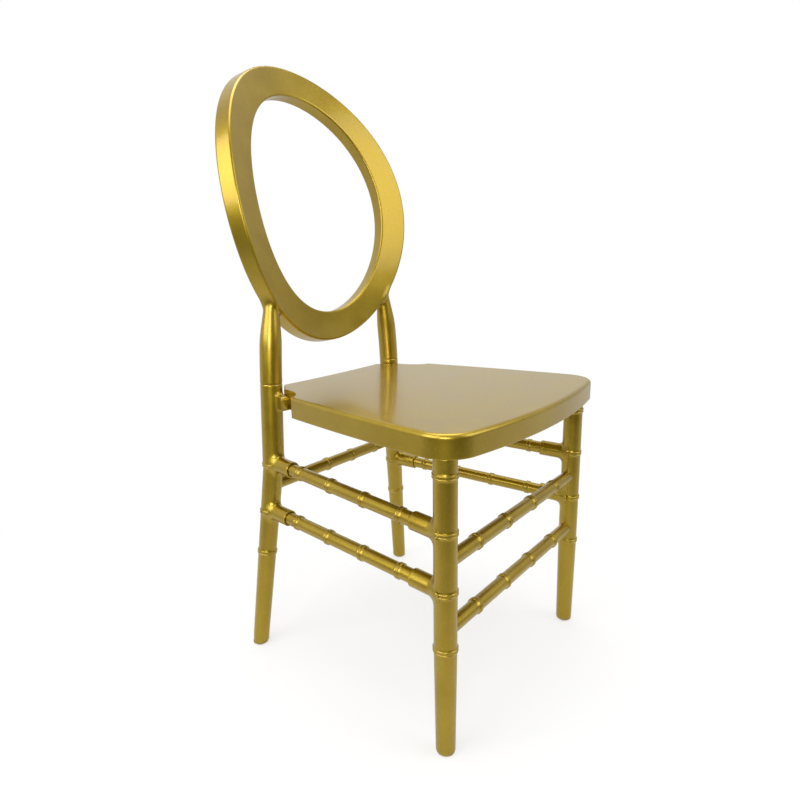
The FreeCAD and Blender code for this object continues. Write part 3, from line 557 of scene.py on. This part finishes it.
def inset(amount):
    """Outline moved inwards, edge by edge: each corner goes to where its two moved edges cross."""
    amount = np.broadcast_to(amount, len(outline))
    run = np.roll(outline, -1, axis=0) - outline
    length = np.linalg.norm(run, axis=1, keepdims=True)
    run = run / length
    after = np.stack([run[:, 1], -run[:, 0]], -1)
    before, amount_before = np.roll(after, 1, axis=0), np.roll(amount, 1)
    cross = before[:, 0] * after[:, 1] - before[:, 1] * after[:, 0]
    safe = np.where(np.abs(cross) > 0.2, cross, 1)
    met = np.stack([amount_before * after[:, 1] - amount * before[:, 1],
                    before[:, 0] * amount - after[:, 0] * amount_before], -1) / safe[:, None]
    mean = (before + after) / 2
    mean *= ((amount + amount_before) / 2 / (mean ** 2).sum(1))[:, None]
    moved = outline + np.where(np.abs(cross)[:, None] > 0.2, met, mean)
    off = moved[:, None] - outline[None]
    share = np.clip((off * run[None]).sum(-1), 0, length[:, 0])
    reach = np.linalg.norm(off - share[..., None] * run[None], axis=-1)
    return moved, (reach > amount * 0.97 - 0.02).all(1)


def seat_place(flat, height):
    """Seat coordinates to the chair's: across, back along the raked top, and up square to it."""
    height = np.broadcast_to(height, flat.shape[:-1])
    return (SEAT_BASE + flat[..., :1] * np.array([1.0, 0, 0]) + flat[..., 1:] * BACK
            + height[..., None] * UPRIGHT)


def loop(amount, height):
    """Outline inset and set at a height; points that the corners have overrun are spread between the rest."""
    flat, sound = inset(amount)
    spot = np.concatenate([flat, np.broadcast_to(height, len(flat))[:, None]], 1)
    order = np.arange(len(flat))
    spot = np.stack([np.interp(order, order[sound], column[sound], period=len(flat))
                     for column in spot.T], -1)
    return seat_place(spot[:, :2], spot[:, 2])


vertex_ease = np.maximum(edge_ease, np.roll(edge_ease, 1))
rounding = np.linspace(0, np.pi / 2, 10)
loops = [loop(SEAT_WALL + 5.0, -SEAT_WALL)]
loops += [loop(SEAT_WALL + 1.6 * (1 - math.cos(turn)), -SEAT_WALL - 1.6 * (1 - math.sin(turn)))
          for turn in rounding[::-2]]
loops += [loop(SEAT_WALL, 0.5 - RIM_DEPTH), loop(SEAT_WALL - 0.5, -RIM_DEPTH)]
loops += [loop(1 - math.sin(turn), 1 - math.cos(turn) - RIM_DEPTH) for turn in rounding[::3]]
loops += [loop(0.0, -low) for low in np.linspace(RIM_DEPTH - 3, EDGE_RADIUS + 2, 6)]
loops += [loop(edge_ease * (1 - math.cos(turn)), -vertex_ease * (1 - math.sin(turn))) for turn in rounding]
loops += [loop(edge_ease + further, 0.0) for further in (0.6, 2.0, 5.0)]
seat_shells = [skin(np.stack(loops))]
inner = inset(SEAT_WALL - 1.0)[0]


def rib(fixed, place):
    """Thin rib across the hollow: a tapered strip between the places where its line meets the rim's wall."""
    near, far = inner, np.roll(inner, -1, axis=0)
    hit = (near[:, fixed] - place) * (far[:, fixed] - place) < 0
    share = (place - near[hit, fixed]) / (far[hit, fixed] - near[hit, fixed])
    ends = near[hit, 1 - fixed] + share * (far[hit, 1 - fixed] - near[hit, 1 - fixed])
    middle = np.sort(ends)
    middle = middle[np.argmax(np.diff(middle)):][:2]
    reach = np.linspace(middle[0], middle[1], 40)
    wide = np.array([-1.0, -0.75, -0.4, 0.4, 0.75, 1.0]) * RIB_HALF
    low = np.array([0.3, 0.96, 1.0, 1.0, 0.96, 0.3]) * -RIB_DEPTH - SEAT_WALL
    low[[0, -1]] = -SEAT_WALL + 1.0
    flat = np.zeros((40, 6, 2))
    flat[..., fixed] = place + wide
    flat[..., 1 - fixed] = reach[:, None]
    return skin(seat_place(flat, np.broadcast_to(low, (40, 6))))


for step in (-1, 0, 1):
    seat_shells.append(rib(0, RIB_PITCH * step))
    seat_shells.append(rib(1, RIB_PITCH * (step - 1)))
for side in (-1, 1):
    foot = FRONT_FOOT * [-side, 1, 1]
    low, high = FRONT_SHOULDER + 0.05, FRONT_SHOULDER + RIM_DEPTH - SEAT_WALL + 1
    heights = np.array([high, low + 0.8, low, low, low + 0.8, high - 1.5])
    radii = np.array([BOSS_RADIUS, BOSS_RADIUS, BOSS_RADIUS - 0.8, TENON_RADIUS + 1, TENON_RADIUS + 0.25,
                      TENON_RADIUS + 0.25])
    seat_shells.append(skin(tube(foot + heights[:, None] * UPRIGHT, UPRIGHT, radii, 64)))
piece("seat_moulding", seat_shells, GOLD, "seat")

# Back ring: an oval band of lacquered resin, bent round the sitter's back and arched towards its top.
# Two stalks moulded with it come down its lower flanks and sit on the rear posts at a fine seam.
RING_CENTRE = np.array([0.0, 177.5, 726.15])
LEAN = math.radians(12.89)
RING_UP = np.array([0, math.sin(LEAN), math.cos(LEAN)])
RING_AHEAD = np.array([0, -math.cos(LEAN), math.sin(LEAN)])
RING_HALF = np.array([192.3, 229.7])
RING_FACE = 49.2
RING_DEPTH = 25.8
RING_EDGE = 3.4
WRAP_RADIUS = 491.0
ARCH_RADIUS = 1349.0
STALK_TURN = math.radians(43)
STALK_SINK = 9.0
STALK_TIP = 11.5
STALK_STRAIGHT = 55.0
STALK_KNEE = 72.0
STALK_FILLET = 9.0
SEAM_GAP = 0.35


def bow(flat):
    """How far the ring's front stands ahead of its middle: forward at the sides, back at top and bottom."""
    return flat[..., 0] ** 2 / 2 / WRAP_RADIUS - flat[..., 1] ** 2 / 2 / ARCH_RADIUS


def ring_place(flat, depth):
    """Ring coordinates to the chair's: across, up the leaning plane, and back from the bowed front, square to
    its wrap, so that the ring widens with depth by the share that the depth is of the wrap's radius."""
    ahead = bow(flat) - depth
    wide = flat[..., 0] * (1 + depth / WRAP_RADIUS)
    return (RING_CENTRE + wide[..., None] * np.array([1.0, 0, 0]) + flat[..., 1:] * RING_UP
            + ahead[..., None] * RING_AHEAD)


def ring_coordinates(where):
    """Place on the ring's front surface below each point, and depth behind it, by repeated substitution."""
    away = where - RING_CENTRE
    flat = np.stack([away[:, 0], away @ RING_UP], -1)
    for _ in range(4):
        depth = bow(flat) - away @ RING_AHEAD
        flat[:, 0] = away[:, 0] / (1 + depth / WRAP_RADIUS)
    return flat, depth


def ring_distance(where):
    """Distance function of the ring: a rounded oblong of its distances to both ovals and both faces."""
    flat, depth = ring_coordinates(where)
    sides = []
    for half_axes, sign in ((RING_HALF, 1), (RING_HALF - RING_FACE, -1)):
        level = np.linalg.norm(flat / half_axes, axis=-1)
        slope = np.linalg.norm(flat / half_axes ** 2, axis=-1) / np.maximum(level, 1e-6)
        sides.append(sign * (level - 1) / slope)
    faces = np.abs(depth - RING_DEPTH / 2) - RING_DEPTH / 2
    both = np.stack([np.maximum(*sides), faces], -1) + RING_EDGE
    rounded = np.linalg.norm(np.maximum(both, 0), axis=-1) + np.minimum(both.max(-1), 0) - RING_EDGE
    return rounded * np.sqrt(1 + (flat[:, 0] / WRAP_RADIUS) ** 2)


def behind_face(rings, sink):
    """The same surface, with what stands ahead of the ring's face within its oval pushed back to a depth."""
    points = rings.reshape(-1, 3)
    flat, depth = ring_coordinates(points)
    share = np.clip((1 - np.linalg.norm(flat / RING_HALF, axis=-1)) / 0.04, 0, 1)
    return (points + (share * np.minimum(depth - sink, 0))[:, None] * RING_AHEAD).reshape(rings.shape)


def ring_section():
    """Rounded oblong round the band: share of the way from inner to outer edge in mm, and depth."""
    turn = np.linspace(0, np.pi / 2, 9)
    arc = np.stack([np.cos(turn), np.sin(turn)], -1) * RING_EDGE
    wide, deep = RING_FACE - RING_EDGE, RING_DEPTH - RING_EDGE
    corners = [arc + [wide, deep], arc[::-1] * [-1, 1] + [RING_EDGE, deep],
               arc * [-1, -1] + [RING_EDGE, RING_EDGE], arc[::-1] * [1, -1] + [wide, RING_EDGE]]
    points = []
    for corner, follower, count in zip(corners, corners[1:] + corners[:1], (26, 14, 26, 14)):
        points.append(corner)
        share = np.linspace(0, 1, count + 2)[1:-1, None]
        points.append(corner[-1] + (follower[0] - corner[-1]) * share)
    return np.concatenate(points)


section = ring_section()
turn = np.linspace(0, 2 * np.pi, 560, endpoint=False)
direction = np.stack([np.cos(turn), np.sin(turn)], -1)[:, None]
flat = direction * (RING_HALF - RING_FACE + section[None, :, :1])
band = ring_place(flat, np.broadcast_to(section[:, 1], flat.shape[:2]))

tip_flat = np.array([-math.cos(STALK_TURN), -math.sin(STALK_TURN)]) * (RING_HALF - STALK_SINK)
stalk_tip = ring_place(tip_flat / [1 + RING_DEPTH / 2 / WRAP_RADIUS, 1], STALK_TIP + 0.5)
stalk_knee = SEAM + POST * STALK_KNEE
share = np.linspace(0, 1, 400)[:, None]
stalk_line = (1 - share) ** 2 * SEAM + 2 * share * (1 - share) * stalk_knee + share ** 2 * stalk_tip
stalk_reach = np.concatenate([[0], np.cumsum(np.linalg.norm(np.diff(stalk_line, axis=0), axis=1))])
stalk_length = stalk_reach[-1]


def stalk_radius(along):
    """Stalk's radius: full from the seam, then narrowing on a cosine to its tip."""
    share = np.clip((along - STALK_STRAIGHT) / (stalk_length - STALK_STRAIGHT), 0, 1)
    return POST_RADIUS + (STALK_TIP - POST_RADIUS) * (1 - np.cos(np.pi * share)) / 2


def stalk_distance(where):
    """Distance function of the right stalk: from the nearest point of its curved axis, less its radius."""
    gap = np.linalg.norm(where[:, None] - stalk_line[None, ::4], axis=-1)
    nearest = gap.argmin(1)
    return gap[np.arange(len(where)), nearest] - stalk_radius(stalk_reach[::4][nearest])


places = np.concatenate([[SEAM_GAP, SEAM_GAP + 0.15, SEAM_GAP + 0.5], np.linspace(2, stalk_length, 110)])
ends = np.ones(len(places))
ends[0], ends[1] = 0.975, 0.992
path = np.stack([np.interp(places, stalk_reach, column) for column in stalk_line.T], -1)
slope = np.gradient(stalk_line, axis=0)
tangent = np.stack([np.interp(places, stalk_reach, column) for column in slope.T], -1)
tangent /= np.linalg.norm(tangent, axis=1, keepdims=True)
stalk = tube(path, tangent, stalk_radius(places) * ends, 96)
dome = np.linspace(0, np.pi / 2 - 0.05, 16)[1:]
cap_path = path[-1] + np.sin(dome)[:, None] * STALK_TIP * tangent[-1]
cap = tube(cap_path, tangent[-1], STALK_TIP * np.cos(dome), 96)
stalk = melted(np.concatenate([stalk, cap]), stalk_distance, ring_distance, STALK_FILLET)
stalk = behind_face(stalk, 0.4)


def mirrored_stalk(where):
    """The left stalk's distance function."""
    return stalk_distance(where * [-1, 1, 1])


lower_side = band[..., 2] < stalk_tip[2] + 60
near_band = band[lower_side.any(1)]
near_band = melted(near_band, ring_distance, stalk_distance, STALK_FILLET)
near_band = melted(near_band, ring_distance, mirrored_stalk, STALK_FILLET)
band[lower_side.any(1)] = behind_face(near_band, 0.0)
index = np.arange(band.shape[0] * band.shape[1]).reshape(band.shape[:2])
ahead = np.roll(index, -1, axis=0)
quads = np.stack([index, ahead, np.roll(ahead, -1, axis=1), np.roll(index, -1, axis=1)], -1).reshape(-1, 4)
stalk_shell = [skin(stalk)]
ring_shells = [(band.reshape(-1, 3), [quads])] + stalk_shell + left_hand(stalk_shell)
piece("back_ring_moulding", ring_shells, GOLD, "back_ring")

# Foot glides: turned discs of tan nylon under the legs, each on a stem pressed up into the foot.
# Matt and slightly mottled where the floor has rubbed them.


def nylon():
    """Moulded nylon, matt with faint mottling at 6 mm."""
    finish = bpy.data.materials.new("tan_nylon")
    finish.use_nodes = True
    tree = finish.node_tree
    tree.nodes.clear()
    place = add_node(tree, "ShaderNodeTexCoord").outputs["Object"]
    mottle = add_node(tree, "ShaderNodeTexNoise", {"Scale": 1 / 0.006, "Detail": 3.0}, {"Vector": place})
    tone = add_node(tree, "ShaderNodeValToRGB", links={"Fac": mottle.outputs["Fac"]})
    tone.color_ramp.elements[0].color = linear("#8E7A48")
    tone.color_ramp.elements[1].color = linear("#A99562")
    shader = add_node(tree, "ShaderNodeBsdfPrincipled", {"Roughness": 0.55},
                      {"Base Color": tone.outputs["Color"]})
    add_node(tree, "ShaderNodeOutputMaterial", links={"Surface": shader.outputs["BSDF"]})
    return finish


def finish_node(node, finish):
    """Gives a CAD node that stays as it is its own finish."""
    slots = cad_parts[node].data.materials
    slots.clear()
    slots.append(finish)


NYLON = nylon()
for corner in ("front_right", "front_left", "rear_right", "rear_left"):
    finish_node(f"foot_glide_{corner}", NYLON)

# Hidden fixings: zinc-plated steel dowels, bolts, washers and screws, and brass inserts in the lugs, of
# drawn and turned bar with a fine streak. The rung screws are lacquered over with the frame.


def bright_metal(name, dark, light, roughness):
    """Turned metal: a fine streaked tone at 0.8 mm over a plain metallic shader."""
    finish = bpy.data.materials.new(name)
    finish.use_nodes = True
    tree = finish.node_tree
    tree.nodes.clear()
    place = add_node(tree, "ShaderNodeTexCoord").outputs["Object"]
    streak = add_node(tree, "ShaderNodeTexNoise", {"Scale": 1 / 0.0008, "Detail": 2.0}, {"Vector": place})
    tone = add_node(tree, "ShaderNodeValToRGB", links={"Fac": streak.outputs["Fac"]})
    tone.color_ramp.elements[0].color = linear(dark)
    tone.color_ramp.elements[1].color = linear(light)
    shader = add_node(tree, "ShaderNodeBsdfPrincipled", {"Metallic": 1.0, "Roughness": roughness},
                      {"Base Color": tone.outputs["Color"]})
    add_node(tree, "ShaderNodeOutputMaterial", links={"Surface": shader.outputs["BSDF"]})
    return finish


ZINC = bright_metal("zinc_plated_steel", "#9A9C9E", "#C4C6C8", 0.32)
BRASS = bright_metal("turned_brass", "#A8863E", "#CBAA5C", 0.3)
for node in ("post_dowel_right", "post_dowel_left", "dowel_screws", "seat_bolts_rear", "seat_washers_rear",
             "seat_screws_front"):
    finish_node(node, ZINC)
finish_node("seat_inserts_rear", BRASS)
finish_node("stretcher_screws", GOLD)

# Studio: a white floor that runs out of sight, white behind the chair, and large soft lamps.
# The room is dimmer on the photographer's side, which is what darkens the middle of each round bar.
CAMERA_PLACE = (-0.7701, -0.6, 0.6565)
CAMERA_YAW = math.radians(52.21)
CAMERA_PITCH = math.radians(-14.11)
CAMERA_ROLL = math.radians(0.23)
SENSOR = 36.0
FOCAL_PIXELS = 610.7
FRAME_PIXELS = 800
look = np.array([math.sin(CAMERA_YAW), math.cos(CAMERA_YAW), 0.0])


def white_floor():
    """Matt white board. It takes the chair's soft shadow and runs out into the plain white of the backdrop
    between 0.45 and 1 m from the middle; mirrored in the lacquer it dims towards the photographer's side,
    as the room does."""
    finish = bpy.data.materials.new("white_board")
    finish.use_nodes = True
    tree = finish.node_tree
    tree.nodes.clear()
    place = add_node(tree, "ShaderNodeTexCoord").outputs["Object"]
    reach = add_node(tree, "ShaderNodeVectorMath", {"operation": "LENGTH"}, {0: place})
    far = add_node(tree, "ShaderNodeMapRange",
                   {"From Min": 0.45, "From Max": 1.0, "To Min": 0.62, "interpolation_type": "SMOOTHSTEP"},
                   {"Value": reach.outputs["Value"]})
    behind = add_node(tree, "ShaderNodeVectorMath", {"operation": "DOT_PRODUCT", 1: look.tolist()},
                      {0: place})
    glow = add_node(tree, "ShaderNodeMapRange",
                    {"From Min": -1.6, "From Max": -0.1, "To Min": 0.05, "To Max": 0.66},
                    {"Value": behind.outputs["Value"]})
    ray = add_node(tree, "ShaderNodeLightPath")
    bright = add_node(tree, "ShaderNodeMath", {"operation": "MAXIMUM"},
                      {0: ray.outputs["Is Camera Ray"], 1: glow.outputs["Result"]})
    seen = add_node(tree, "ShaderNodeMath", {"operation": "MAXIMUM"},
                    {0: ray.outputs["Is Camera Ray"], 1: ray.outputs["Is Glossy Ray"]})
    share = add_node(tree, "ShaderNodeMath", {"operation": "MULTIPLY"},
                     {0: far.outputs["Result"], 1: seen.outputs["Value"]})
    board = add_node(tree, "ShaderNodeBsdfDiffuse", {"Color": linear("#F4F4F2")})
    white = add_node(tree, "ShaderNodeEmission", links={"Strength": bright.outputs["Value"]})
    both = add_node(tree, "ShaderNodeMixShader", links={0: share.outputs["Value"], 1: board.outputs["BSDF"],
                                                        2: white.outputs["Emission"]})
    add_node(tree, "ShaderNodeOutputMaterial", links={"Surface": both.outputs["Shader"]})
    return finish


bpy.ops.mesh.primitive_plane_add(size=40, location=(0, 0, 0))
floor = bpy.context.object
floor.name = "studio_floor"
floor.data.materials.append(white_floor())

world = bpy.data.worlds.new("studio_room")
bpy.context.scene.world = world
world.use_nodes = True
room = world.node_tree
room.nodes.clear()
way = add_node(room, "ShaderNodeTexCoord").outputs["Generated"]
facing = add_node(room, "ShaderNodeVectorMath", {"operation": "DOT_PRODUCT", 1: (0.3, 0.7, 0.65)}, {0: way})
dim = add_node(room, "ShaderNodeMapRange", {"From Min": -0.9, "From Max": 0.8, "To Min": 0.08, "To Max": 0.8},
               {"Value": facing.outputs["Value"]})
ray = add_node(room, "ShaderNodeLightPath")
level = add_node(room, "ShaderNodeMix", {"data_type": "FLOAT", 3: 1.0},
                 {0: ray.outputs["Is Camera Ray"], 2: dim.outputs["Result"]})
backdrop = add_node(room, "ShaderNodeBackground", {"Color": (1, 1, 1, 1)}, {"Strength": level.outputs[0]})
add_node(room, "ShaderNodeOutputWorld", links={"Surface": backdrop.outputs["Background"]})


def softbox(name, place, aim, size, power):
    """Square soft lamp at a place, turned to face a point of the chair."""
    lamp = bpy.data.lights.new(name, "AREA")
    lamp.shape = "SQUARE"
    lamp.size = size
    lamp.energy = power
    holder = bpy.data.objects.new(name, lamp)
    bpy.context.scene.collection.objects.link(holder)
    away = np.array(place, float) - np.array(aim, float)
    away /= np.linalg.norm(away)
    side = np.cross([0, 0, 1], away)
    side /= np.linalg.norm(side)
    turned = np.eye(4)
    turned[:3, 0], turned[:3, 1], turned[:3, 2], turned[:3, 3] = side, np.cross(away, side), away, place
    holder.matrix_world = Matrix(turned.tolist())


softbox("lamp_left", (-2.3, 0.6, 1.8), (0, 0, 0.7), 2.0, 36)
softbox("lamp_right", (0.9, -2.3, 2.0), (0, 0, 0.7), 1.9, 22)
softbox("lamp_front", (-2.2, -1.3, 1.15), (0, 0, 0.6), 1.1, 24)
softbox("lamp_above", (0.2, 0.2, 2.8), (0, 0, 0.4), 1.8, 26)

camera_data = bpy.data.cameras.new("photo_camera")
camera_data.sensor_width = SENSOR
camera_data.lens = SENSOR * FOCAL_PIXELS / FRAME_PIXELS
camera = bpy.data.objects.new("photo_camera", camera_data)
bpy.context.scene.collection.objects.link(camera)
ahead = look * math.cos(CAMERA_PITCH) + np.array([0.0, 0.0, math.sin(CAMERA_PITCH)])
level_right = np.array([math.cos(CAMERA_YAW), -math.sin(CAMERA_YAW), 0.0])
level_up = np.cross(level_right, ahead)
right = math.cos(CAMERA_ROLL) * level_right + math.sin(CAMERA_ROLL) * level_up
up = np.cross(right, ahead)
stance = np.eye(4)
stance[:3, 0], stance[:3, 1], stance[:3, 2], stance[:3, 3] = right, up, -ahead, CAMERA_PLACE
camera.matrix_world = Matrix(stance.tolist())
bpy.context.scene.camera = camera
bpy.context.scene.view_settings.view_transform = "Standard"
